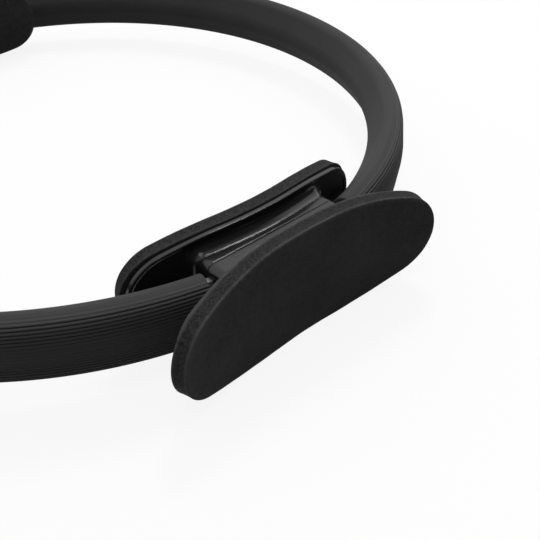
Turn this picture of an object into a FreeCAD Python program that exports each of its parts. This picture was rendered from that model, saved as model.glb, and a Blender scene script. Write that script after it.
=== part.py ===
"""Pilates ring: two sleeved spring strips clamped between two padded handles.

Millimetres.  The ring lies flat: the hoop's axis is +Z, the handles sit on +X and -X, and the
origin is on the floor under the hoop's centre.  Every piece is drawn about the hoop's middle
plane and lifted to the height at which the outer pads touch the floor.
"""
import math
import os
from collections import namedtuple
from types import SimpleNamespace

import FreeCAD
import Part
import Sketcher
from FreeCAD import Placement, Rotation, Vector

# Driving dimensions
SIZES = {
    # spring strips
    "hoop_radius": 180.0,           # middle of the strip's thickness
    "core_thick": 2.8,
    "core_height": 22.5,
    "core_end_gap": 4.0,            # between the two strip ends inside a handle
    # sleeves, measured from the strip's middle line
    "sleeve_outer": 8.7,            # out to the flat fluted face
    "sleeve_inner": 9.4,            # in to the rounded nose
    "sleeve_height": 32.0,
    "sleeve_corner": 6.4,
    "sleeve_nose": 9.6,             # radius of the nose
    "sleeve_end": 39.5,             # from the handle's middle to the sleeve's end
    "slot_clearance": 0.2,          # strip to sleeve
    "flute_pitch": 1.9,
    "flute_width": 0.9,
    "flute_depth": 0.5,
    # outer pads
    "outer_stand": 14.6,            # strip's middle line to the palm face
    "outer_bend": 241.0,
    "outer_half_length": 72.5,
    "outer_half_width": 27.8,
    "outer_flat": 12.9,             # half of the straight edge that the ring lies on
    "outer_end_radius": 21.3,
    "outer_foam": 7.0,
    # inner pads
    "inner_stand": 21.5,
    "inner_bend": 198.0,
    "inner_half_length": 64.9,
    "inner_half_width": 24.4,
    "inner_flat": 20.0,
    "inner_end_radius": 21.8,
    "inner_foam": 6.5,
    "pad_edge_round": 0.6,
    # shells
    "outer_inset": 3.6,             # pad edge to shell edge
    "inner_inset": 0.8,
    "outer_plate": 2.0,
    "inner_plate": 2.0,
    "rim_width": 1.5,
    "outer_rim": 1.2,               # height of the rim on the outer shell's back
    "inner_rim": 0.6,
    # hub block between the shells
    "hub_half_length": 36.2,
    "hub_half_height": 16.2,
    "hub_corner": 4.0,
    "outer_foot": 2.4,              # fillet where a hub half meets its plate
    "inner_foot": 4.9,
    "socket_wall": 2.0,             # inner hub half round the outer one's spigot
    "parting": 5.8,                 # strip's middle line to the hub's parting face
    "spigot": 1.5,                  # how deep the outer half sits in the inner one
    "spigot_clearance": 0.2,
    "core_clearance": 0.3,          # strip to channel and saddle
    "saddle_relief": 1.0,           # saddle edges to channel edges
    # screws
    "screw_pitch": 18.0,
    "screw_shank": 3.5,
    "screw_tip": 1.2,               # length of the pointed end
    "screw_length": 16.5,           # under the head
    "screw_head": 6.5,
    "screw_head_height": 2.2,
    "screw_seat": 5.2,              # strip's middle line to the seat of the heads
    "screw_clearance": 0.35,        # round shank and head
    "pilot_clearance": 0.1,
    "pilot_spare": 1.0,             # blind hole past the screw's tip
    # cuts run this far past what they cut
    "overrun": 1.0,
}
SCREW_COUNT = 4
HALF_TURN = 180.0
FULL_TURN = 360.0
POINT_TOLERANCE = 1e-6
FACE_TOLERANCE = 1e-3

doc = FreeCAD.newDocument("pilates_ring")


# Sizes that know their sheet expression

class Size:
    """A length with its number and the sheet expression that gives it."""

    def __init__(self, value, text):
        self.value = value
        self.text = text

    def __add__(self, other):
        return Size(self.value + other.value, f"({self.text} + {other.text})")

    def __sub__(self, other):
        return Size(self.value - other.value, f"({self.text} - {other.text})")

    def __neg__(self):
        return Size(-self.value, f"(0 - {self.text})")

    def __mul__(self, other):
        if isinstance(other, Size):
            return Size(self.value * other.value, f"({self.text} * {other.text})")
        return Size(self.value * other, f"({self.text} * {other})")

    def __truediv__(self, other):
        if isinstance(other, Size):
            return Size(self.value / other.value, f"({self.text} / {other.text})")
        return Size(self.value / other, f"({self.text} / {other})")

    def root(self):
        return Size(math.sqrt(self.value), f"sqrt({self.text})")


def fill_sheet():
    """Put every driving dimension into a named cell of the sheet."""
    sheet = doc.addObject("Spreadsheet::Sheet", "Sizes")
    for row, (name, value) in enumerate(SIZES.items(), start=1):
        sheet.set(f"A{row}", name)
        sheet.set(f"B{row}", str(value))
        sheet.setAlias(f"B{row}", name)
    doc.recompute()
    return SimpleNamespace(**{name: Size(value, f"Sizes.{name}") for name, value in SIZES.items()})


s = fill_sheet()
ORIGIN = Size(0.0, "0")


def chord(radius, across):
    """Reach of a circle of this radius at a distance across from its middle line."""
    return (radius * radius - across * across).root()


def arc_between(end_distance):
    """Angle of hoop left between two planes, each end_distance from the handles' middle line."""
    ratio = end_distance / s.hoop_radius
    value = HALF_TURN - 2 * math.degrees(math.asin(ratio.value))
    return Size(value, f"{HALF_TURN} deg - 2 * asin({ratio.text})")


# Bends of the two pads: layers are counted from the palm face into the handle
Bend = namedtuple("Bend", "axis radius side")
OUTER = Bend(s.hoop_radius + s.outer_stand + s.outer_bend, s.outer_bend, 1)
INNER = Bend(s.hoop_radius - s.inner_stand - s.inner_bend, s.inner_bend, -1)

Outline = namedtuple("Outline", "half_length half_width flat end_radius")
OUTER_PAD = Outline(s.outer_half_length, s.outer_half_width, s.outer_flat, s.outer_end_radius)
INNER_PAD = Outline(s.inner_half_length, s.inner_half_width, s.inner_flat, s.inner_end_radius)


def bent_x(bend, depth, across):
    """X of a bent layer at this depth under the palm face."""
    reach = chord(bend.radius + depth, across)
    return bend.axis - reach if bend.side > 0 else bend.axis + reach


def inset(outline, step):
    return Outline(outline.half_length - step, outline.half_width - step, outline.flat,
                   outline.end_radius - step)


# Sketches

def new_sketch(body, name, role, lift=None):
    """A sketch on one of the body's own origin planes, lifted along the plane's normal."""
    sketch = body.newObject("Sketcher::SketchObject", name)
    origin_plane = next(item for item in body.Origin.OriginFeatures if item.Role == role)
    sketch.AttachmentSupport = [(origin_plane, "")]
    sketch.MapMode = "FlatFace"
    if lift is not None:
        sketch.setExpression("AttachmentOffset.Base.z", lift.text)
    return sketch


def constrain(sketch, kind, *where, size):
    number = sketch.addConstraint(Sketcher.Constraint(kind, *where, size.value))
    sketch.setExpression(f"Constraints[{number}]", size.text)


def pin(sketch, geometry, point, across, along):
    """Hold one point of the sketch at its two distances from the sketch's origin."""
    for kind, axis, size in (("DistanceX", -2, across), ("DistanceY", -1, along)):
        if size is ORIGIN:
            sketch.addConstraint(Sketcher.Constraint("PointOnObject", geometry, point, axis))
        else:
            constrain(sketch, kind, -1, 1, geometry, point, size=size)


def arc_middle(start, end, radius, side):
    """Middle of the short arc from start to end; its centre lies to the left where side is 1."""
    run = end - start
    half = run.Length / 2
    sagitta = radius - math.sqrt(radius * radius - half * half)
    leftward = Vector(-run.y, run.x, 0).normalize()
    return (start + end) / 2 - leftward * (side * sagitta)


def contour(sketch, corners):
    """A closed run: each corner is (across, along, None or (radius, side) of the arc after it)."""
    points = [Vector(across.value, along.value, 0) for across, along, _ in corners]
    joints = []
    for (across, along, bow), start, end in zip(corners, points, points[1:] + points[:1]):
        if bow is None:
            number = sketch.addGeometry(Part.LineSegment(start, end))
        else:
            middle = arc_middle(start, end, bow[0].value, bow[1])
            number = sketch.addGeometry(Part.Arc(start, middle, end))
            constrain(sketch, "Radius", number, size=bow[0])
        forward = sketch.getPoint(number, 1).isEqual(start, POINT_TOLERANCE)
        first, last = (1, 2) if forward else (2, 1)
        pin(sketch, number, first, across, along)
        joints.append((number, first, last))
    for (number, _, last), (following, first, _) in zip(joints, joints[1:] + joints[:1]):
        sketch.addConstraint(Sketcher.Constraint("Coincident", number, last, following, first))


def circle(sketch, across, along, radius):
    centre = Vector(across.value, along.value, 0)
    number = sketch.addGeometry(Part.Circle(centre, Vector(0, 0, 1), radius.value))
    pin(sketch, number, 3, across, along)
    constrain(sketch, "Radius", number, size=radius)


def draw_rectangle(sketch, half_across, half_along):
    contour(sketch, [(-half_across, -half_along, None), (half_across, -half_along, None),
                     (half_across, half_along, None), (-half_across, half_along, None)])


def draw_rounded_rectangle(sketch, half_across, half_along, radius):
    near_across = half_across - radius
    near_along = half_along - radius
    bow = (radius, 1)
    contour(sketch, [(-near_across, -half_along, None), (near_across, -half_along, bow),
                     (half_across, -near_along, None), (half_across, near_along, bow),
                     (near_across, half_along, None), (-near_across, half_along, bow),
                     (-half_across, near_along, None), (-half_across, -near_along, bow)])


def draw_outline(sketch, outline):
    """Pad outline: straight middle, long side arcs and round ends, all tangent."""
    length, width, flat, end = outline
    run = length - end - flat
    side = (run * run + width * width - end * end) / ((width - end) * 2)
    meet_across = length - end + end * run / (side - end)
    meet_along = end * (side - width) / (side - end)
    long_bow = (side, -1)
    end_bow = (end, -1)
    contour(sketch, [(flat, width, long_bow), (meet_across, meet_along, end_bow),
                     (meet_across, -meet_along, long_bow), (flat, -width, None),
                     (-flat, -width, long_bow), (-meet_across, -meet_along, end_bow),
                     (-meet_across, meet_along, long_bow), (-flat, width, None)])


def draw_layer(sketch, bend, near, far, reach):
    """Band between two depths under the palm face, seen along the hoop's axis."""
    near_x = bent_x(bend, near, reach)
    far_x = bent_x(bend, far, reach)
    contour(sketch, [(near_x, -reach, (bend.radius + near, -bend.side)), (near_x, reach, None),
                     (far_x, reach, (bend.radius + far, bend.side)), (far_x, -reach, None)])


# Features

def new_body(name):
    return doc.addObject("PartDesign::Body", name)


def both_ways(body, kind, name, sketch, width):
    """A pad or pocket of this whole width, half of it on each side of its sketch."""
    feature = body.newObject(f"PartDesign::{kind}", name)
    feature.Profile = sketch
    feature.SideType = "Symmetric"
    feature.setExpression("Length", width.text)
    doc.recompute()
    return feature


def outward_pad(body, name, sketch, height):
    """A pad of this height on the +X side of its sketch."""
    feature = body.newObject("PartDesign::Pad", name)
    feature.Profile = sketch
    feature.setExpression("Length", height.text)
    doc.recompute()
    return feature


def outward_pocket(body, name, sketch):
    """A pocket through everything on the +X side of its sketch."""
    feature = body.newObject("PartDesign::Pocket", name)
    feature.Profile = sketch
    feature.Type = "ThroughAll"
    feature.Reversed = True
    doc.recompute()
    return feature


def turned(body, kind, name, sketch, angle):
    """A revolution or groove about the hoop's axis, half of it on each side of its sketch."""
    feature = body.newObject(f"PartDesign::{kind}", name)
    feature.Profile = sketch
    feature.ReferenceAxis = (sketch, ["V_Axis"])
    feature.Midplane = True
    feature.setExpression("Angle", angle.text)
    doc.recompute()
    return feature


def patterned(body, name, original, direction, pitch, count):
    feature = body.newObject("PartDesign::LinearPattern", name)
    feature.Originals = [original]
    feature.Direction = direction
    feature.Mode = "Spacing"
    feature.setExpression("Offset", pitch.text)
    feature.Occurrences = count
    body.Tip = feature
    doc.recompute()
    return feature


def filleted(body, name, base, wanted, radius):
    """Round the base's edges for which wanted(edge) is true."""
    names = [f"Edge{number}" for number, edge in enumerate(base.Shape.Edges, start=1) if wanted(edge)]
    if not names:
        raise RuntimeError(f"{body.Name}: no edge for {name}")
    feature = body.newObject("PartDesign::Fillet", name)
    feature.Base = (base, names)
    feature.setExpression("Radius", radius.text)
    doc.recompute()
    return feature


def must_shrink(before, feature):
    if not feature.Shape.Volume < before - POINT_TOLERANCE:
        raise RuntimeError(f"{feature.Name} cut nothing")


def bent_blank(body, name, bend, near, far, outline):
    """Bent sheet between two depths, trimmed to the outline along X."""
    reach = outline.half_length + s.overrun
    band = new_sketch(body, f"{name}_band", "XY_Plane")
    draw_layer(band, bend, near, far, reach)
    sheet = both_ways(body, "Pad", f"{name}_sheet", band, (outline.half_width + s.overrun) * 2)
    trim = new_sketch(body, f"{name}_outline", "YZ_Plane")
    draw_outline(trim, outline)
    draw_rectangle(trim, reach + s.overrun, outline.half_width + s.overrun * 2)
    trimmed = outward_pocket(body, f"{name}_trim", trim)
    must_shrink(sheet.Shape.Volume, trimmed)
    return trimmed


def place(body, label, turn):
    """Name the piece, lift it to its rest height and turn it to its handle."""
    body.Label = label
    body.Placement = Placement(Vector(0, 0, 0), Rotation(Vector(0, 0, 1), turn))
    body.setExpression("Placement.Base.z", s.outer_half_width.text)
    return body


# Spring strips and sleeves

SCREW_PLACES = [s.screw_pitch * (number - (SCREW_COUNT - 1) / 2) for number in range(SCREW_COUNT)]


def make_core(label, turn):
    """Half hoop of flat strip with screw holes at its ends."""
    body = new_body(label)
    section = new_sketch(body, f"{label}_section", "YZ_Plane")
    near = s.hoop_radius - s.core_thick / 2
    far = s.hoop_radius + s.core_thick / 2
    edge = s.core_height / 2
    contour(section, [(near, -edge, None), (far, -edge, None), (far, edge, None), (near, edge, None)])
    strip = turned(body, "Revolution", f"{label}_strip", section, arc_between(s.core_end_gap / 2))
    holes = new_sketch(body, f"{label}_hole_places", "YZ_Plane", -s.hoop_radius - s.core_thick)
    for across in SCREW_PLACES:
        if across.value > 0:
            circle(holes, across, ORIGIN, s.screw_shank / 2 + s.screw_clearance)
    must_shrink(strip.Shape.Volume, outward_pocket(body, f"{label}_holes", holes))
    return place(body, label, turn)


def make_sleeve(label, turn):
    """D-shaped sleeve over one strip, fluted along its flat outer face."""
    body = new_body(label)
    face = s.hoop_radius + s.sleeve_outer
    top = s.sleeve_height / 2
    corner = s.sleeve_corner
    nose = s.sleeve_nose
    nose_centre = s.hoop_radius - s.sleeve_inner + nose
    corner_centre = face - corner
    corner_height = top - corner
    # the sloping sides touch the corner and nose circles on one shared direction
    run = corner_centre - nose_centre
    gap_squared = run * run + corner_height * corner_height
    slide = (gap_squared - (nose - corner) * (nose - corner)).root()
    lean_across = (run * (nose - corner) - corner_height * slide) / gap_squared
    lean_along = (corner_height * (nose - corner) + run * slide) / gap_squared
    section = new_sketch(body, f"{label}_section", "YZ_Plane")
    corner_bow = (corner, 1)
    contour(section, [
        (face, -corner_height, None),
        (face, corner_height, corner_bow),
        (corner_centre + corner * lean_across, corner_height + corner * lean_along, None),
        (nose_centre + nose * lean_across, nose * lean_along, (nose, 1)),
        (nose_centre + nose * lean_across, -(nose * lean_along), None),
        (corner_centre + corner * lean_across, -(corner_height + corner * lean_along), corner_bow),
    ])
    slot_near = s.hoop_radius - s.core_thick / 2 - s.slot_clearance
    slot_far = s.hoop_radius + s.core_thick / 2 + s.slot_clearance
    slot_edge = s.core_height / 2 + s.slot_clearance
    contour(section, [(slot_near, -slot_edge, None), (slot_far, -slot_edge, None),
                      (slot_far, slot_edge, None), (slot_near, slot_edge, None)])
    tube = turned(body, "Revolution", f"{label}_tube", section, arc_between(s.sleeve_end))

    count = int(2 * corner_height.value / s.flute_pitch.value)
    lowest = s.flute_pitch * ((1 - count) / 2)
    valley = face - s.flute_depth
    mouth = face + s.overrun
    half = s.flute_width / 2
    notch = new_sketch(body, f"{label}_flute_section", "YZ_Plane")
    contour(notch, [(valley, lowest, None), (face, lowest - half, None), (mouth, lowest - half, None),
                    (mouth, lowest + half, None), (face, lowest + half, None)])
    flute = turned(body, "Groove", f"{label}_flute", notch, Size(FULL_TURN, f"{FULL_TURN} deg"))
    must_shrink(tube.Shape.Volume, flute)
    patterned(body, f"{label}_flutes", flute, (notch, ["V_Axis"]), s.flute_pitch, count)
    return place(body, label, turn)


# Handles

PARTING_X = s.hoop_radius - s.parting
SPIGOT_X = PARTING_X - s.spigot


def make_pad(label, turn, bend, outline, foam):
    """Foam sheet bent to the shell, with a softened palm edge."""
    body = new_body(label)
    blank = bent_blank(body, label, bend, ORIGIN, foam, outline)

    def on_palm_face(edge):
        middle = edge.valueAt((edge.FirstParameter + edge.LastParameter) / 2)
        away = Vector(middle.x - bend.axis.value, middle.y, 0).Length
        return abs(away - bend.radius.value) < s.pad_edge_round.value / 2

    filleted(body, f"{label}_edge", blank, on_palm_face, s.pad_edge_round)
    return place(body, label, turn)


def rimmed_plate(body, label, bend, outline, near, plate, rim):
    """Bent plate with a raised rim round its back; the dish inside the rim is cut to the plate."""
    back = near + plate
    blank = bent_blank(body, label, bend, near, back + rim, outline)
    tool = new_body(f"{label}_dish")
    bent_blank(tool, f"{label}_dish_cut", bend, back, back + rim + s.overrun, inset(outline, s.rim_width))
    dished = body.newObject("PartDesign::Boolean", f"{label}_dished")
    dished.Type = "Cut"
    dished.setObjects([tool])
    doc.recompute()
    must_shrink(blank.Shape.Volume, dished)
    return dished


def hub_block(body, label, bend, near, plate, foot):
    """Block from the parting face to the middle of the plate, with round corners and foot."""
    length = s.hub_half_length
    height = s.hub_half_height
    depth = near + plate / 2
    root_x = bent_x(bend, depth, length)
    flank = new_sketch(body, f"{label}_hub_flank", "XY_Plane")
    contour(flank, [(PARTING_X, length, None), (root_x, length, (bend.radius + depth, bend.side)),
                    (root_x, -length, None), (PARTING_X, -length, None)])
    block = both_ways(body, "Pad", f"{label}_hub", flank, height * 2)

    def along_x(edge):
        start = edge.Vertexes[0].Point
        end = edge.Vertexes[-1].Point
        level = abs(start.y - end.y) < POINT_TOLERANCE and abs(start.z - end.z) < POINT_TOLERANCE
        at_corner = abs(abs(start.y) - length.value) < POINT_TOLERANCE
        at_top = abs(abs(start.z) - height.value) < POINT_TOLERANCE
        return level and at_corner and at_top

    def on_foot(edge):
        middle = edge.valueAt((edge.FirstParameter + edge.LastParameter) / 2)
        away = Vector(middle.x - bend.axis.value, middle.y, 0).Length
        on_back = abs(away - (bend.radius + near + plate).value) < FACE_TOLERANCE
        inside = abs(middle.y) <= length.value + POINT_TOLERANCE
        return on_back and inside and abs(middle.z) <= height.value + POINT_TOLERANCE

    rounded = filleted(body, f"{label}_hub_corners", block, along_x, s.hub_corner)
    return filleted(body, f"{label}_hub_foot", rounded, on_foot, foot)


def spigot_sketch(body, name, clearance):
    """Outline of the step by which the two hub halves fit into each other."""
    sketch = new_sketch(body, name, "YZ_Plane", SPIGOT_X)
    step = s.socket_wall - clearance
    draw_rounded_rectangle(sketch, s.hub_half_length - step, s.hub_half_height - step,
                           s.hub_corner - s.socket_wall)
    return sketch


def make_outer_shell(label, turn):
    """Outer handle half: plate, rim and the hub half with spigot and channel for the strip ends."""
    body = new_body(label)
    near = s.outer_foam
    outline = inset(OUTER_PAD, s.outer_inset)
    rimmed_plate(body, label, OUTER, outline, near, s.outer_plate, s.outer_rim)
    hub_block(body, label, OUTER, near, s.outer_plate, s.outer_foot)
    step = spigot_sketch(body, f"{label}_spigot_outline", ORIGIN)
    block = outward_pad(body, f"{label}_spigot", step, s.spigot + s.overrun)

    floor = s.hoop_radius + s.core_thick / 2 + s.core_clearance
    reach = s.hub_half_length + s.outer_foot + s.overrun
    bed = new_sketch(body, f"{label}_channel_bed", "XY_Plane")
    open_x = SPIGOT_X - s.overrun
    floor_x = chord(floor, reach)
    contour(bed, [(open_x, -reach, None), (floor_x, -reach, (floor, 1)),
                  (floor_x, reach, None), (open_x, reach, None)])
    width = s.core_height + s.core_clearance * 2
    channel = both_ways(body, "Pocket", f"{label}_channel", bed, width)
    must_shrink(block.Shape.Volume, channel)

    places = new_sketch(body, f"{label}_screw_places", "YZ_Plane", SPIGOT_X - s.overrun)
    seats = new_sketch(body, f"{label}_seat_places", "YZ_Plane", s.hoop_radius + s.screw_seat)
    for across in SCREW_PLACES:
        circle(places, across, ORIGIN, s.screw_shank / 2 + s.screw_clearance)
        circle(seats, across, ORIGIN, s.screw_head / 2 + s.screw_clearance)
    holes = outward_pocket(body, f"{label}_screw_holes", places)
    must_shrink(channel.Shape.Volume, holes)
    must_shrink(holes.Shape.Volume, outward_pocket(body, f"{label}_screw_seats", seats))
    return place(body, label, turn)


def make_inner_shell(label, turn):
    """Inner handle half: plate, raised rim and the hub half with socket, saddle and pilot holes."""
    body = new_body(label)
    near = s.inner_foam
    outline = inset(INNER_PAD, s.inner_inset)
    rimmed_plate(body, label, INNER, outline, near, s.inner_plate, s.inner_rim)
    block = hub_block(body, label, INNER, near, s.inner_plate, s.inner_foot)
    mouth = spigot_sketch(body, f"{label}_socket_mouth", s.spigot_clearance)
    must_shrink(block.Shape.Volume, outward_pocket(body, f"{label}_socket", mouth))

    crest = s.hoop_radius - s.core_thick / 2 - s.core_clearance
    reach = s.hub_half_length - s.saddle_relief
    crest_x = chord(crest, reach)
    rest = new_sketch(body, f"{label}_saddle_flank", "XY_Plane")
    contour(rest, [(SPIGOT_X, -reach, None), (crest_x, -reach, (crest, 1)),
                   (crest_x, reach, None), (SPIGOT_X, reach, None)])
    saddle = both_ways(body, "Pad", f"{label}_saddle", rest, s.core_height - s.saddle_relief * 2)

    pilot_end = s.hoop_radius + s.screw_seat - s.screw_length - s.pilot_spare
    places = new_sketch(body, f"{label}_pilot_places", "YZ_Plane", pilot_end)
    for across in SCREW_PLACES:
        circle(places, across, ORIGIN, s.screw_shank / 2 + s.pilot_clearance)
    must_shrink(saddle.Shape.Volume, outward_pocket(body, f"{label}_pilots", places))
    return place(body, label, turn)


def make_screws(label, turn):
    """Row of pan-head screws along the handle."""
    body = new_body(label)
    body.AllowCompound = True
    seat = s.hoop_radius + s.screw_seat
    tip = seat - s.screw_length
    first = SCREW_PLACES[0]
    shank = first + s.screw_shank / 2
    head = first + s.screw_head / 2
    top = seat + s.screw_head_height
    profile = new_sketch(body, f"{label}_profile", "XY_Plane")
    contour(profile, [(tip, first, None), (tip + s.screw_tip, shank, None), (seat, shank, None),
                      (seat, head, None), (top - s.screw_tip, head, None),
                      (top, shank, None), (top, first, None)])
    doc.recompute()
    turning = body.newObject("PartDesign::Revolution", f"{label}_screw")
    turning.Profile = profile
    turning.ReferenceAxis = (profile, [axis_edge(profile, first)])
    turning.Angle = FULL_TURN
    doc.recompute()
    patterned(body, f"{label}_row", turning, (profile, ["V_Axis"]), s.screw_pitch, SCREW_COUNT)
    return place(body, label, turn)


def axis_edge(profile, across):
    """The straight edge of the profile that lies on the screw's own axis."""
    for number, edge in enumerate(profile.Shape.Edges, start=1):
        if all(abs(vertex.Point.y - across.value) < POINT_TOLERANCE for vertex in edge.Vertexes):
            return f"Edge{number}"
    raise RuntimeError("the screw profile has no edge on its axis")


def make_handle(side, turn):
    return [
        make_outer_shell(f"{side}_outer_shell", turn),
        make_inner_shell(f"{side}_inner_shell", turn),
        make_pad(f"{side}_outer_pad", turn, OUTER, OUTER_PAD, s.outer_foam),
        make_pad(f"{side}_inner_pad", turn, INNER, INNER_PAD, s.inner_foam),
        make_screws(f"{side}_screws", turn),
    ]


pieces = [
    make_core("back_core", 0),
    make_core("front_core", HALF_TURN),
    make_sleeve("back_sleeve", 0),
    make_sleeve("front_sleeve", HALF_TURN),
    *make_handle("right", 0),
    *make_handle("left", HALF_TURN),
]
doc.recompute()

# Nothing is written unless every object is sound
for item in doc.Objects:
    if "Invalid" in item.State or "Error" in item.State:
        raise RuntimeError(f"{item.Name} failed: {item.State}")
for piece in pieces:
    if piece.Shape.isNull() or not piece.Shape.isValid():
        raise RuntimeError(f"{piece.Label} has no valid shape")

os.makedirs("parts", exist_ok=True)
for piece in pieces:
    piece.Shape.exportStep(f"parts/{piece.Label}.step")
    box = piece.Shape.BoundBox
    print(piece.Label, len(piece.Shape.Solids), "solids", round(piece.Shape.Volume), "mm3",
          [round(value, 2) for value in (box.XMin, box.YMin, box.ZMin, box.XMax, box.YMax, box.ZMax)])
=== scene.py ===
import math

import bmesh
import bpy
import numpy as np
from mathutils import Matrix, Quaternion, Vector


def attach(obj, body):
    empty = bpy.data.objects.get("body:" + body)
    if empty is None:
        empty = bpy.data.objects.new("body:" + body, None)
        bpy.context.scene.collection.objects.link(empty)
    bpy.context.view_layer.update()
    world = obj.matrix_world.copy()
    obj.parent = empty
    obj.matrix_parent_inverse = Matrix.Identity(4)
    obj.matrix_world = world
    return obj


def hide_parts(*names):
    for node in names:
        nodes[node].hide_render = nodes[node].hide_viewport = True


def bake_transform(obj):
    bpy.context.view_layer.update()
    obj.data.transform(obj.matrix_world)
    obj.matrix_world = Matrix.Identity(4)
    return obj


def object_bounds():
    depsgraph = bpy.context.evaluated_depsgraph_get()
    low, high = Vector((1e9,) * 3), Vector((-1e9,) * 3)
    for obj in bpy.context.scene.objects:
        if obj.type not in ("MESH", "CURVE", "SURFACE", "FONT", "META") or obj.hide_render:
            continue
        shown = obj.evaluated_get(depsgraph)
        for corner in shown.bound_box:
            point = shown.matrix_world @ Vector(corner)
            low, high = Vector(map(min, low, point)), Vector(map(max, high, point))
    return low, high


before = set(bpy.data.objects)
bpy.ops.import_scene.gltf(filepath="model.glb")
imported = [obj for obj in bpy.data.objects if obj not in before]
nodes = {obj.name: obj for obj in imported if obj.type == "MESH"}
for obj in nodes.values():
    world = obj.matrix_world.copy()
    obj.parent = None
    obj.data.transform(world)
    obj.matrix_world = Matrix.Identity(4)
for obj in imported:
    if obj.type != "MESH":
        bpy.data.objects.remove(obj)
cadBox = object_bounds()
midHeight = (cadBox[0].z + cadBox[1].z) / 2  # hoop's middle plane above the floor
mm = 0.001
sides = {"right": 1, "left": -1}
halves = {"back": 1, "front": -1}
print("frame loaded:", len(nodes), "nodes")


# shader maths: a wire is one output socket, and arithmetic on wires adds Math nodes
class Wire:
    def __init__(self, tree, socket=None):
        self.tree = tree
        self.socket = socket

    def node(self, kind, setup=None, links=None, output=0):  # settings first, then values or wires by socket
        made = self.tree.nodes.new(kind)
        for key, value in (setup or {}).items():
            setattr(made, key, value)
        for key, value in (links or {}).items():
            if isinstance(value, Wire):
                self.tree.links.new(value.socket, made.inputs[key])
            else:
                made.inputs[key].default_value = value
        return Wire(self.tree, made.outputs[output] if made.outputs else None)

    def maths(self, operation, left, right):
        return self.node("ShaderNodeMath", {"operation": operation}, {0: left, 1: right})

    def __add__(self, other):
        return self.maths("ADD", self, other)

    def __radd__(self, other):
        return self.maths("ADD", other, self)

    def __sub__(self, other):
        return self.maths("SUBTRACT", self, other)

    def __rsub__(self, other):
        return self.maths("SUBTRACT", other, self)

    def __mul__(self, other):
        return self.maths("MULTIPLY", self, other)

    def __rmul__(self, other):
        return self.maths("MULTIPLY", other, self)

    def __gt__(self, other):
        return self.maths("GREATER_THAN", self, other)

    def __lt__(self, other):
        return self.maths("LESS_THAN", self, other)


def emptyTree(data):  # the wire that the nodes of a material or a world grow from
    data.use_nodes = True
    data.node_tree.nodes.clear()
    return Wire(data.node_tree)


def newLook(name):
    look = bpy.data.materials.new(name)
    return look, emptyTree(look)


def showSurface(start, shader, output="ShaderNodeOutputMaterial"):
    start.node(output, links={"Surface": shader})


def finishLook(start, principled):
    showSurface(start, start.node("ShaderNodeBsdfPrincipled", links=principled))


def mixShaders(start, share, low, high):
    return start.node("ShaderNodeMixShader", links={0: share, 1: low, 2: high})


def grey(level):
    return (level, level, level, 1)


def mixColours(share, low, high):  # sockets 6 and 7 and output 2 are the node's colours
    return share.node("ShaderNodeMix", {"data_type": "RGBA"}, {0: share, 6: low, 7: high}, output=2)


def mixGreys(share, low, high):
    return mixColours(share, grey(low), grey(high))


def objectPlace(start):
    return start.node("ShaderNodeTexCoord", output="Object")


def pointValue(start, name):
    return start.node("ShaderNodeAttribute", {"attribute_name": name}, output="Fac")


def drawnPlace(start, scales):  # coarse along the hoop and fine around the section, for drawn streaks
    return start.node("ShaderNodeCombineXYZ", links={"X": pointValue(start, "run") * scales[0],
                                                     "Y": pointValue(start, "around") * scales[1]})


def noise(place, scale=1.0, detail=3.0, roughness=0.55):
    return place.node("ShaderNodeTexNoise", links={"Vector": place, "Scale": scale, "Detail": detail,
                                                   "Roughness": roughness})


def cells(place, scale):  # distance to the middle of the nearest cell
    return place.node("ShaderNodeTexVoronoi", links={"Vector": place, "Scale": scale}, output="Distance")


def stretch(value, low, high):  # 0 below low, 1 above high
    return value.node("ShaderNodeMapRange", {"clamp": True},
                      {"Value": value, "From Min": low, "From Max": high})


def bump(height, finish, normal=None):
    links = {"Height": height, "Strength": finish["bumpStrength"], "Distance": finish["bumpDepth"]}
    if normal is not None:
        links["Normal"] = normal
    return height.node("ShaderNodeBump", links=links)


# finishes: colours are grey levels and scales are per metre; a name such as skinGrain is a pattern's share
# in a tone, and a range stretches that tone over the whole way between two colours
# the edge colour is a painted highlight along the pads' edges
padFoam = {"skin": 0.029, "skinPale": 0.062, "wall": 0.009, "wallPale": 0.036, "edge": 0.076, "speck": 0.20,
           "grainScale": 1100, "cellScale": 2600, "mottleScale": 420, "blotchScale": 38,
           "skinGrain": 0.4, "skinMottle": 0.3, "skinBlotch": 0.6, "skinRange": (0.48, 0.82),
           "wallMottle": 0.2, "wallCell": 0.2, "wallRange": (0.54, 0.82), "edgeRange": (0.6, 1.1),
           "speckScale": 150, "speckSize": 0.055, "patchScale": 60, "patchLeast": 0.60, "speckShare": 0.5,
           "rough": 0.80, "roughGrain": 0.18, "specular": 0.18,
           "bumpCell": 0.5, "bumpGrain": 0.5, "bumpStrength": 0.35, "bumpDepth": 0.0002}


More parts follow.
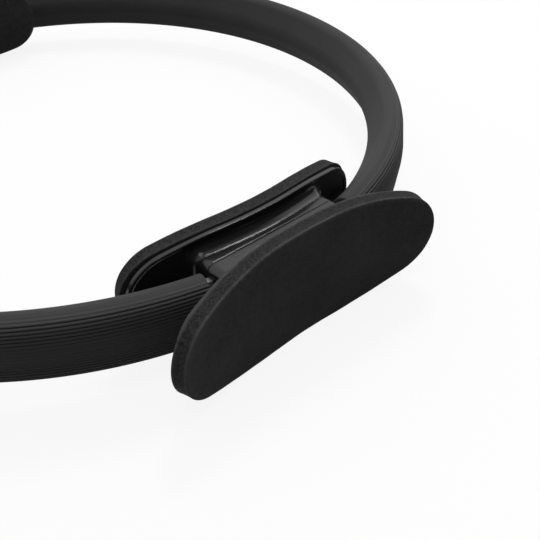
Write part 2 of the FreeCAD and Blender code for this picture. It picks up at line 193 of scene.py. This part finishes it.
def padFoamLook():
    look, start = newLook("padFoamLook")
    place = objectPlace(start)
    grain = noise(place, padFoam["grainScale"], detail=4.0)
    cell = cells(place, padFoam["cellScale"])
    mottle = noise(place, padFoam["mottleScale"], detail=2.0)
    blotch = noise(place, padFoam["blotchScale"])
    wall = pointValue(start, "wall")
    tone = grain * padFoam["skinGrain"] + mottle * padFoam["skinMottle"] + blotch * padFoam["skinBlotch"]
    skin = mixGreys(stretch(tone, *padFoam["skinRange"]), padFoam["skin"], padFoam["skinPale"])
    tone = mottle * padFoam["wallMottle"] + grain + cell * padFoam["wallCell"]
    cut = mixGreys(stretch(tone, *padFoam["wallRange"]), padFoam["wall"], padFoam["wallPale"])
    colour = mixColours(wall, skin, cut)
    # painted highlight: a pale band along both edges of each pad, broken up by the mottle and the blotches
    edgeHighlightShare = pointValue(start, "edge") * stretch(mottle + blotch, *padFoam["edgeRange"])
    colour = mixColours(edgeHighlightShare, colour, grey(padFoam["edge"]))
    patch = noise(place, padFoam["patchScale"]) > padFoam["patchLeast"]
    speck = (cells(place, padFoam["speckScale"]) < padFoam["speckSize"]) * patch  # a few, in patches
    colour = mixColours(speck * padFoam["speckShare"], colour, grey(padFoam["speck"]))
    rough = padFoam["rough"] + padFoam["roughGrain"] * grain
    height = cell * padFoam["bumpCell"] + grain * padFoam["bumpGrain"] + wall * cell
    finishLook(start, {"Base Color": colour, "Roughness": rough, "Specular IOR Level": padFoam["specular"],
                       "Normal": bump(height, padFoam)})
    return look


# the darkest colour is painted shade for the flute valleys and the slot, and the palest is a painted sheen on
# the shoulders' rib crests
sleeveFoam = {"valley": 0.016, "crest": 0.043, "crestPale": 0.060, "crestSheen": 0.110,
              "grainScale": 900, "blotchScale": 30, "streakScales": (25, 1300),
              "crestStreak": 0.5, "crestGrain": 0.35, "crestBlotch": 0.35, "crestRange": (0.40, 0.80),
              "sheenLeast": 0.3, "sheenStreak": 0.6, "rough": 0.70, "roughGrain": 0.25, "specular": 0.2,
              "bumpStreak": 0.6, "bumpGrain": 0.4, "bumpStrength": 0.25, "bumpDepth": 0.0002}


def sleeveFoamLook():
    look, start = newLook("sleeveFoamLook")
    place = objectPlace(start)
    streak = noise(drawnPlace(start, sleeveFoam["streakScales"]))
    grain = noise(place, sleeveFoam["grainScale"], detail=4.0)
    blotch = noise(place, sleeveFoam["blotchScale"])
    tone = streak * sleeveFoam["crestStreak"] + grain * sleeveFoam["crestGrain"]
    tone = tone + blotch * sleeveFoam["crestBlotch"]
    colour = mixGreys(stretch(tone, *sleeveFoam["crestRange"]), sleeveFoam["crest"], sleeveFoam["crestPale"])
    sheenShare = pointValue(start, "crestSheen") * (sleeveFoam["sheenLeast"] + sleeveFoam["sheenStreak"] * streak)
    colour = mixColours(sheenShare, colour, grey(sleeveFoam["crestSheen"]))  # painted sheen on the shoulders' rib crests
    # painted shade: the flute valleys and the inside of the slot are darkened
    colour = mixColours(pointValue(start, "valley"), colour, grey(sleeveFoam["valley"]))
    rough = sleeveFoam["rough"] + sleeveFoam["roughGrain"] * grain
    height = streak * sleeveFoam["bumpStreak"] + grain * sleeveFoam["bumpGrain"]
    finishLook(start, {"Base Color": colour, "Roughness": rough, "Specular IOR Level": sleeveFoam["specular"],
                       "Normal": bump(height, sleeveFoam)})
    return look


shellPlastic = {"black": 0.010, "blackPale": 0.016, "smudgeScale": 55, "sparkScale": 3200,
                "scratchTurn": (0.3, 0.2, 0.7), "scratchScales": (300, 9000, 2500),
                "scratchRange": (0.66, 0.74), "edgeRound": 0.0011, "edgeSamples": 6,
                "rough": 0.10, "roughSmudge": 0.10, "roughScratch": 0.08,
                "bumpSpark": 0.7, "bumpScratch": 0.3, "bumpStrength": 0.10, "bumpDepth": 0.0001}


def shellPlasticLook():
    look, start = newLook("shellPlasticLook")
    place = objectPlace(start)
    smudge = noise(place, shellPlastic["smudgeScale"], detail=5.0)
    spark = noise(place, shellPlastic["sparkScale"], detail=2.0)
    hairline = start.node("ShaderNodeMapping", links={
        "Vector": place, "Rotation": shellPlastic["scratchTurn"], "Scale": shellPlastic["scratchScales"]})
    scratch = stretch(noise(hairline, detail=2.0), *shellPlastic["scratchRange"])
    rounded = start.node("ShaderNodeBevel", {"samples": shellPlastic["edgeSamples"]},
                         {"Radius": shellPlastic["edgeRound"]})
    colour = mixGreys(smudge, shellPlastic["black"], shellPlastic["blackPale"])
    rough = shellPlastic["rough"] + shellPlastic["roughSmudge"] * smudge
    rough = rough + shellPlastic["roughScratch"] * scratch
    height = spark * shellPlastic["bumpSpark"] - scratch * shellPlastic["bumpScratch"]
    finishLook(start, {"Base Color": colour, "Roughness": rough,
                       "Normal": bump(height, shellPlastic, rounded)})
    return look


stripGlass = {"resin": 0.16, "glass": 0.36, "fibreScales": (40, 2200), "hazeScale": 120,
              "glassFibre": 0.8, "glassHaze": 0.3, "glassRange": (0.35, 0.75),
              "rough": 0.30, "roughHaze": 0.25, "bumpStrength": 0.2, "bumpDepth": 0.0001}


def stripGlassLook():
    look, start = newLook("stripGlassLook")
    fibre = noise(drawnPlace(start, stripGlass["fibreScales"]), detail=4.0)
    haze = noise(objectPlace(start), stripGlass["hazeScale"])
    tone = fibre * stripGlass["glassFibre"] + haze * stripGlass["glassHaze"]
    colour = mixGreys(stretch(tone, *stripGlass["glassRange"]), stripGlass["resin"], stripGlass["glass"])
    rough = stripGlass["rough"] + stripGlass["roughHaze"] * haze
    finishLook(start, {"Base Color": colour, "Roughness": rough, "Normal": bump(fibre, stripGlass)})
    return look


screwSteel = {"zinc": 0.48, "zincPale": 0.66, "spangleScale": 700, "rubScale": 4000,
              "metal": 0.9, "metalSpangle": 0.1, "rough": 0.26, "roughSpangle": 0.2,
              "bumpStrength": 0.15, "bumpDepth": 0.00005}


def screwSteelLook():
    look, start = newLook("screwSteelLook")
    place = objectPlace(start)
    spangle = noise(place, screwSteel["spangleScale"])
    rub = noise(place, screwSteel["rubScale"], detail=2.0)
    colour = mixGreys(spangle, screwSteel["zinc"], screwSteel["zincPale"])
    metal = screwSteel["metal"] + screwSteel["metalSpangle"] * spangle
    rough = screwSteel["rough"] + screwSteel["roughSpangle"] * spangle
    finishLook(start, {"Base Color": colour, "Metallic": metal, "Roughness": rough,
                       "Normal": bump(rub, screwSteel)})
    return look


looks = {"padFoam": padFoamLook(), "sleeveFoam": sleeveFoamLook(), "shellPlastic": shellPlasticLook(),
         "stripGlass": stripGlassLook(), "screwSteel": screwSteelLook()}
print("finishes:", ", ".join(looks))


# meshes from arrays
def gridFaces(rows, columns, wrapRows=False):
    # quads of a grid whose columns close on themselves, and its rows too where asked
    row = np.arange(rows if wrapRows else rows - 1)[:, None]
    column = np.arange(columns)[None, :]
    nextRow = (row + 1) % rows
    nextColumn = (column + 1) % columns
    corners = [row * columns + column, row * columns + nextColumn,
               nextRow * columns + nextColumn, nextRow * columns + column]
    return np.stack([corner.ravel() for corner in corners], axis=1)


def fanFaces(pole, ring):
    # triangles from one pole to each pair of neighbours on a ring of points
    return np.stack([np.full(len(ring), pole), ring, np.roll(ring, -1)], axis=1)


def enclosedVolume(points, faces):
    # sum of the tetrahedra between the origin and each face, cut into triangles from its first corner
    total = 0.0
    for kind in faces:
        for number in range(1, kind.shape[1] - 1):
            first, second, third = points[kind[:, 0]], points[kind[:, number]], points[kind[:, number + 1]]
            total += np.einsum("ij,ij->", first, np.cross(second, third)) / 6
    return total


def walkAlong(path):
    # distance from a path's first point to each of its points, along the path
    return np.concatenate([[0], np.cumsum(np.linalg.norm(np.diff(path, axis=0), axis=1))])


def pointsAt(station, walked, path):
    # points of a flat path at these distances, straight between its own points
    return np.stack([np.interp(station, walked, path[:, axis]) for axis in (0, 1)], axis=1)


def smoothStep(low, high, value):  # 0 below low, 1 above high, and level at both ends
    share = np.clip((value - low) / (high - low), 0, 1)
    return share * share * (3 - 2 * share)


def addObject(name, data):
    made = bpy.data.objects.new(name, data)
    bpy.context.scene.collection.objects.link(made)
    return made


def setLook(mesh, look):
    mesh.materials.clear()
    mesh.materials.append(looks[look])


def addPiece(mesh, look, values, sharpAngle):  # smooth up to the sharp angle, with its values by point
    mesh.shade_smooth()
    mesh.set_sharp_from_angle(angle=math.radians(sharpAngle))
    for key, numbers in values.items():
        stored = mesh.attributes.new(key, "FLOAT", "POINT")
        stored.data.foreach_set("value", numbers.astype(np.float32).ravel())
    setLook(mesh, look)
    return addObject(mesh.name, mesh)


def makePiece(name, points, faces, look, values, sharpAngle):
    if enclosedVolume(points, faces) < 0:  # turn the faces outwards
        faces = [kind[:, ::-1] for kind in faces]
    mesh = bpy.data.meshes.new(name)
    mesh.from_pydata(points.tolist(), [], [face for kind in faces for face in kind.tolist()])
    return addPiece(mesh, look, values, sharpAngle)


# hoop, m: radius of the strips' middle line, and where its pieces have taken up all of a handle's motion
hoop = {"radius": 0.180, "bendEnd": 0.158}


def onHoop(across, up, theta, side, half):
    # a point across the strip and up from the middle plane, carried round to theta from the handle's axis
    radius = hoop["radius"] + across * mm
    return np.stack([side * radius * np.cos(theta), half * radius * np.sin(theta),
                     midHeight + up * mm + 0 * theta], axis=-1)


def bendPiece(piece):  # bakes the piece's placement into its points
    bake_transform(piece)


# soft sleeves: one fluted skin for each quarter of the hoop, in mm from the strip's middle; fades are distances
# from the middle of the flat face, and turns are angles of the skin's normal from that face, in degrees
sleeve = {"faceOut": 8.7, "noseIn": 9.4, "halfHeight": 16.0, "shoulder": 6.4, "nose": 9.6,
          "endFromHandle": 39.5, "endRound": 0.8, "slotHalfThick": 1.6, "slotHalfHeight": 11.45,
          "flutePitch": 1.6, "fluteDepth": 0.55, "fluteReach": 25, "ribPower": 0.6,
          "faceShare": 0.25, "faceFade": (3.0, 9.0), "topShare": 0.08, "topTurn": (38, 62),
          "noseTurn": (105, 130), "sheenFade": (4.0, 14.0), "sheenTurn": (56, 82),
          "outlineSteps": 6001, "stepsPerFlute": 8, "plainStep": 0.7,
          "rows": 78, "roundRows": 5, "slotRows": 26, "sharpAngle": 35}


def sleeveSection():
    # outermost of three circles, one on each shoulder and one at the nose: the point whose normal has angle a
    # is centre + radius * (cos a, sin a) of the circle that reaches furthest in that direction
    angle = np.linspace(-np.pi, np.pi, sleeve["outlineSteps"])
    direction = np.stack([np.cos(angle), np.sin(angle)], axis=1)
    shoulderOut = sleeve["faceOut"] - sleeve["shoulder"]
    shoulderUp = sleeve["halfHeight"] - sleeve["shoulder"]
    noseOut = sleeve["nose"] - sleeve["noseIn"]
    centres = np.array([[shoulderOut, shoulderUp], [shoulderOut, -shoulderUp], [noseOut, 0]])
    radii = np.array([sleeve["shoulder"], sleeve["shoulder"], sleeve["nose"]])
    chosen = (direction @ centres.T + radii).argmax(axis=1)
    outline = centres[chosen] + radii[chosen, None] * direction
    around = walkAlong(outline)
    around -= around[-1] / 2  # 0 in the middle of the flat face
    noseEnd = around[-1]
    # stations lie close together over the flutes and further apart over the plain nose
    fluteEnd = round(sleeve["fluteReach"] / sleeve["flutePitch"]) * sleeve["flutePitch"]
    fine = np.arange(-fluteEnd, fluteEnd, sleeve["flutePitch"] / sleeve["stepsPerFlute"])
    plainCount = int((noseEnd - fluteEnd) * 2 / sleeve["plainStep"])
    plain = np.linspace(fluteEnd, 2 * noseEnd - fluteEnd, plainCount)[:-1]
    station = np.concatenate([fine, plain])
    folded = np.where(station > noseEnd, station - 2 * noseEnd, station)
    section = pointsAt(folded, around, outline)
    normal = np.interp(folded, around, angle)
    # rounded ribs with narrow valleys, deepest on the shoulders, shallow in mid-face and at the top
    turn = np.degrees(np.abs(normal))
    share = sleeve["faceShare"] + (1 - sleeve["faceShare"]) * smoothStep(*sleeve["faceFade"], np.abs(folded))
    share *= 1 - (1 - sleeve["topShare"]) * smoothStep(*sleeve["topTurn"], turn)
    share *= 1 - smoothStep(*sleeve["noseTurn"], turn)
    crest = np.abs(np.sin(np.pi * folded / sleeve["flutePitch"])) ** sleeve["ribPower"]
    # the valley share deepens the flutes and also sets their painted shade
    valley = share * (1 - crest)
    # painted sheen on the rib crests, fading in away from mid-face and out towards the top
    crestSheen = crest * smoothStep(*sleeve["sheenFade"], np.abs(folded))
    crestSheen *= 1 - smoothStep(*sleeve["sheenTurn"], turn)
    facing = np.stack([np.cos(normal), np.sin(normal)], axis=1)
    return section - sleeve["fluteDepth"] * valley[:, None] * facing, facing, valley, crestSheen, folded


def makeSleeve(sideName, halfName):
    # the section runs from the hoop's far point to the handle, over a rounded end, and back along the slot
    section, facing, valley, crestSheen, around = sleeveSection()
    endTheta = math.asin(sleeve["endFromHandle"] * mm / hoop["radius"])
    roundTheta = sleeve["endRound"] * mm / hoop["radius"]
    roundTurn = np.linspace(0, np.pi / 2, sleeve["roundRows"] + 1)[1:]
    theta = np.concatenate([np.linspace(np.pi / 2, endTheta + roundTheta, sleeve["rows"]),
                            endTheta + roundTheta * (1 - np.sin(roundTurn))])
    inward = np.concatenate([np.zeros(sleeve["rows"]), sleeve["endRound"] * (1 - np.cos(roundTurn))])
    skin = section[None] - inward[:, None, None] * facing[None]
    outer = onHoop(skin[..., 0], skin[..., 1], theta[:, None], sides[sideName], halves[halfName])
    # slot: where the line from the strip's middle to the skin meets the slot's box
    reach = np.maximum(np.abs(section[:, 0]) / sleeve["slotHalfThick"],
                       np.abs(section[:, 1]) / sleeve["slotHalfHeight"])
    slot = section / reach[:, None]
    slotTheta = np.linspace(endTheta, np.pi / 2, sleeve["slotRows"])
    inner = onHoop(slot[None, :, 0], slot[None, :, 1], slotTheta[:, None], sides[sideName], halves[halfName])
    points = np.concatenate([outer, inner])
    rows, columns = points.shape[:2]
    onSkin, inSlot = len(theta), (len(slotTheta), columns)
    # valleys and the whole slot carry painted shade, and the shoulder crests a painted sheen
    values = {"run": np.concatenate([theta, slotTheta])[:, None] * hoop["radius"] + np.zeros((1, columns)),
              "around": np.repeat(around[None] * mm, rows, axis=0),
              "valley": np.concatenate([np.repeat(valley[None], onSkin, axis=0), np.ones(inSlot)]),
              "crestSheen": np.concatenate([np.repeat(crestSheen[None], onSkin, axis=0), np.zeros(inSlot)])}
    piece = makePiece(f"{halfName}_{sideName}_sleeve_skin", points.reshape(-1, 3),
                      [gridFaces(rows, columns, wrapRows=True)], "sleeveFoam", values, sleeve["sharpAngle"])
    bendPiece(piece)
    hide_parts(f"{halfName}_sleeve")


# spring strips: a merged copy of each solid, cut at the hoop's far point, with the cut end filled
strip = {"mergeWithin": 1e-6, "cutWithin": 1e-7, "sharpAngle": 30}


def makeStrip(sideName, halfName):
    source = nodes[f"{halfName}_core"]
    cut = bmesh.new()
    cut.from_mesh(source.data)
    bmesh.ops.remove_doubles(cut, verts=cut.verts, dist=strip["mergeWithin"])
    found = bmesh.ops.bisect_plane(cut, geom=cut.verts[:] + cut.edges[:] + cut.faces[:],
                                   dist=strip["cutWithin"], plane_co=(0, 0, 0),
                                   plane_no=(sides[sideName], 0, 0), clear_inner=True)
    rim = [item for item in found["geom_cut"] if isinstance(item, bmesh.types.BMEdge)]
    bmesh.ops.holes_fill(cut, edges=rim)
    mesh = bpy.data.meshes.new(f"{halfName}_{sideName}_strip")
    cut.to_mesh(mesh)
    cut.free()
    place = np.empty(len(mesh.vertices) * 3, np.float32)
    mesh.vertices.foreach_get("co", place)
    x, y, z = place.reshape(-1, 3).T
    values = {"run": np.arctan2(y, np.abs(x)) * hoop["radius"], "around": z}
    piece = addPiece(mesh, "stripGlass", values, strip["sharpAngle"])
    bendPiece(piece)
    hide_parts(source.name)


for halfName in halves:
    for sideName in sides:
        makeSleeve(sideName, halfName)
        makeStrip(sideName, halfName)
print("hoop: 4 sleeve skins and 4 strips")


# foam pads, mm: palm is the face's distance from the hoop's centre, bend the radius of the palm face; the last
# entry sets how strong the painted highlight along the edges is
outerPad = {"palm": 194.6, "bend": 241.0, "outwards": 1, "halfLength": 72.5, "halfWidth": 27.8, "flat": 12.9,
            "endRadius": 21.3, "thick": 7.0, "palmRound": 0.6, "backRound": 0.4, "crown": 0.30,
            "waist": 0.15, "edgeHighlightShare": 1.0}
innerPad = {"palm": 158.5, "bend": 198.0, "outwards": -1, "halfLength": 64.9, "halfWidth": 24.4, "flat": 20.0,
            "endRadius": 21.8, "thick": 6.5, "palmRound": 0.6, "backRound": 0.4, "crown": 0.25,
            "waist": 0.15, "edgeHighlightShare": 0.3}
padCut = {"ripple": 0.05, "waves": ((0.31, 0.17), (-0.11, 0.43)),  # hand-cut foam isn't dead flat
          "wallFade": (0.1, 0.9), "highlightAt": 0.6,  # as shares of an edge's rounding; the second is where the painted edge highlight is brightest
          "quarterSteps": 900, "columns": 264, "palmRows": 24, "roundRows": 7, "wallRows": 5, "backRows": 8,
          "sharpAngle": 60}


def padOutline(pad, count):
    # a quarter by the angle of its normal: straight middle, a long side arc, then the round end, all tangent;
    # it is mirrored to a loop, which is then cut into even steps
    length, width, flat, end = pad["halfLength"], pad["halfWidth"], pad["flat"], pad["endRadius"]
    run = length - end - flat
    side = (run ** 2 + width ** 2 - end ** 2) / (2 * (width - end))
    turn = np.linspace(0, np.pi / 2, padCut["quarterSteps"])
    onEnd = turn > math.asin(run / (side - end))
    along = np.where(onEnd, length - end + end * np.sin(turn), flat + side * np.sin(turn))
    up = np.where(onEnd, end * np.cos(turn), width - side + side * np.cos(turn))
    quarter = np.stack([along, up], axis=1)
    loop = np.concatenate([quarter, quarter[::-1] * (1, -1), quarter * (-1, -1), quarter[::-1] * (-1, 1)])
    loop = np.concatenate([loop, loop[:1]])
    walked = walkAlong(loop)
    outline = pointsAt(np.linspace(0, walked[-1], count, endpoint=False), walked, loop)
    step = np.roll(outline, -1, axis=0) - np.roll(outline, 1, axis=0)
    outward = np.stack([-step[:, 1], step[:, 0]], axis=1) / np.linalg.norm(step, axis=1)[:, None]
    return outline, outward * np.sign(np.sum(outline * outward))


def makePad(name, pad, sideName):
    # a profile carried round the outline: crowned palm face, rounded edge, drawn-in wall, back edge and back;
    # inset is measured in from the outline, depth from the palm face, and share shrinks the outline
    columns, palmRows, backRows = padCut["columns"], padCut["palmRows"], padCut["backRows"]
    palmRound, backRound, thick = pad["palmRound"], pad["backRound"], pad["thick"]
    outline, outward = padOutline(pad, columns)
    palmShare = np.linspace(0, 1, palmRows + 2)[1:-1]
    turn = np.linspace(0, np.pi / 2, padCut["roundRows"])
    wall = np.linspace(0, 1, padCut["wallRows"] + 2)[1:-1]
    backShare = np.linspace(1, 0, backRows + 2)[1:-1]
    inset = np.concatenate([np.full(palmRows, palmRound), palmRound * (1 - np.sin(turn)),
                            pad["waist"] * np.sin(np.pi * wall), backRound * (1 - np.cos(turn)),
                            np.full(backRows, backRound)])
    share = np.concatenate([palmShare, np.ones(len(turn) + len(wall) + len(turn)), backShare])
    depth = np.concatenate([-pad["crown"] * (1 - palmShare ** 2), palmRound * (1 - np.cos(turn)),
                            palmRound + wall * (thick - palmRound - backRound),
                            thick - backRound * (1 - np.sin(turn)), np.full(backRows, thick)])
    flat = (outline[None] - inset[:, None, None] * outward[None]) * share[:, None, None]
    along = np.append(flat[..., 0].ravel(), [0, 0])  # the last two points close the palm face and the back
    up = np.append(flat[..., 1].ravel(), [0, 0])
    down = np.append(np.repeat(depth, columns), [-pad["crown"], thick])
    wave, crossWave = (np.sin(along * perLength + up * perWidth) for perLength, perWidth in padCut["waves"])
    radius = pad["bend"] + down + padCut["ripple"] * wave * crossWave * (1 - down / thick)
    bend = along / pad["bend"]
    out = pad["palm"] + pad["outwards"] * (pad["bend"] - radius * np.cos(bend))
    points = sides[sideName] * np.stack([out, radius * np.sin(bend), 0 * bend], axis=1) * mm
    points[:, 2] = midHeight + up * mm
    rows = len(depth)
    ring = np.arange(columns)
    faces = [gridFaces(rows, columns), fanFaces(rows * columns, ring)[:, ::-1],
             fanFaces(rows * columns + 1, ring + (rows - 1) * columns)]
    onWall = np.repeat(smoothStep(*padCut["wallFade"], depth / palmRound), columns)
    fromEdges = (depth / palmRound, (thick - depth) / backRound)
    edge = sum(np.exp(-(far - padCut["highlightAt"]) ** 2) for far in fromEdges)  # both edges get a painted highlight
    onEdge = np.repeat(pad["edgeHighlightShare"] * edge * (share == 1), columns)
    values = {"wall": np.append(onWall, [0, 1]), "edge": np.append(onEdge, [0, 0])}
    piece = makePiece(f"{name}_foam", points, faces, "padFoam", values, padCut["sharpAngle"])
    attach(piece, f"{sideName}_handle")
    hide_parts(name)


solidLooks = {"outer_shell": "shellPlastic", "inner_shell": "shellPlastic", "screws": "screwSteel"}
for sideName in sides:
    makePad(f"{sideName}_outer_pad", outerPad, sideName)
    makePad(f"{sideName}_inner_pad", innerPad, sideName)
    for part, look in solidLooks.items():
        setLook(nodes[f"{sideName}_{part}"].data, look)
print("handles: 4 foam pads, shells and screws finished")


# stage: pale floor, white surroundings, one soft lamp above and two behind the ring
studio = {"floorHalf": 4.0, "floorDrop": 0.0002, "floorGrey": 0.25, "floorWhite": 0.98, "glow": 0.88,
          "skyLow": 0.08, "skyHigh": 1.0, "skySide": (-0.83, -0.05, 0.555), "skyEdge": (0.1, 0.8),
          "screenSide": (-0.58, 0.42, 0.70), "screenEdge": (0.86, 0.97), "lampAim": (0.17, 0.0, 0.03)}
lamps = {"backLamp": {"from": (-0.385, 0.457, 0.805), "away": 1.5, "size": 0.30, "power": 6},
         "topLamp": {"from": (0.20, -0.20, 0.96), "away": 1.4, "size": 0.70, "power": 3.0},
         "sideLamp": {"from": (0.00, 0.87, 0.49), "away": 1.6, "size": 1.40, "power": 6}}


def whiteRays(start, mirrorShare):  # camera, glass and mirror rays see the white surroundings
    camera, glass, mirror = (start.node("ShaderNodeLightPath", output=f"Is {kind} Ray")
                             for kind in ("Camera", "Transmission", "Glossy"))
    return camera + glass + mirror * mirrorShare


def makeFloor():  # white but for the shadow to those rays, and grey where it throws light back on the object
    half, drop = studio["floorHalf"], studio["floorDrop"]
    mesh = bpy.data.meshes.new("floor")
    corners = [(-half, -half, -drop), (half, -half, -drop), (half, half, -drop), (-half, half, -drop)]
    mesh.from_pydata(corners, [], [(0, 1, 2, 3)])
    look, start = newLook("floorLook")
    paint, bounce = (start.node("ShaderNodeBsdfDiffuse", links={"Color": grey(studio[level])})
                     for level in ("floorWhite", "floorGrey"))
    glow = start.node("ShaderNodeEmission", links={"Color": grey(1.0), "Strength": 1.0})
    white = mixShaders(start, studio["glow"], paint, glow)
    showSurface(start, mixShaders(start, whiteRays(start, mirrorShare=1.0), bounce, white))
    mesh.materials.append(look)
    floor = addObject("floor", mesh)


def towards(ray, side):  # cosine of the angle between a ray and a side of the studio
    return ray.node("ShaderNodeVectorMath", {"operation": "DOT_PRODUCT"}, {0: ray, 1: side}, output="Value")


def makeWorld():  # a sky lit from the left, with a white screen behind the ring for its mirror rays
    world = bpy.data.worlds.new("studio")
    start = emptyTree(world)
    ray = start.node("ShaderNodeTexCoord", output="Generated")
    low, high, white = (start.node("ShaderNodeBackground", links={"Color": grey(1.0), "Strength": strength})
                        for strength in (studio["skyLow"], studio["skyHigh"], 1.0))
    lit = stretch(towards(ray, studio["skySide"]), *studio["skyEdge"])
    screen = stretch(towards(ray, studio["screenSide"]), *studio["screenEdge"])
    sky = mixShaders(start, lit, low, high)
    surroundings = mixShaders(start, whiteRays(start, mirrorShare=screen), sky, white)
    showSurface(start, surroundings, output="ShaderNodeOutputWorld")
    bpy.context.scene.world = world


def makeLamp(name, settings):  # a square soft lamp that faces the right handle
    lamp = bpy.data.lights.new(name, "AREA")
    lamp.shape = "SQUARE"
    lamp.size = settings["size"]
    lamp.energy = settings["power"]
    holder = addObject(name, lamp)
    away = Vector(settings["from"]).normalized()
    holder.location = Vector(studio["lampAim"]) + away * settings["away"]
    holder.rotation_euler = away.to_track_quat("Z", "Y").to_euler()


# the photograph's view: from in front of the right handle, looking down along it
view = {"from": (0.358719, -0.173736, 0.202561), "yaw": 2.392096, "pitch": -0.686751, "roll": 0.009233,
        "lens": 50.093, "sensor": 36.0, "nearest": 0.01}


def makeCamera():
    camera = bpy.data.cameras.new("camera")
    camera.lens = view["lens"]
    camera.sensor_width = view["sensor"]
    camera.clip_start = view["nearest"]
    holder = addObject("camera", camera)
    holder.location = Vector(view["from"]) + Vector((0, 0, midHeight))
    level = math.cos(view["pitch"])
    gaze = Vector((level * math.cos(view["yaw"]), level * math.sin(view["yaw"]), math.sin(view["pitch"])))
    holder.rotation_euler = (gaze.to_track_quat("-Z", "Y") @ Quaternion((0, 0, 1), view["roll"])).to_euler()
    bpy.context.scene.camera = holder


makeFloor()
makeWorld()
for name, settings in lamps.items():
    makeLamp(name, settings)
makeCamera()
bpy.context.scene.view_settings.view_transform = "Standard"
print("stage: floor, surroundings, lamps and camera")
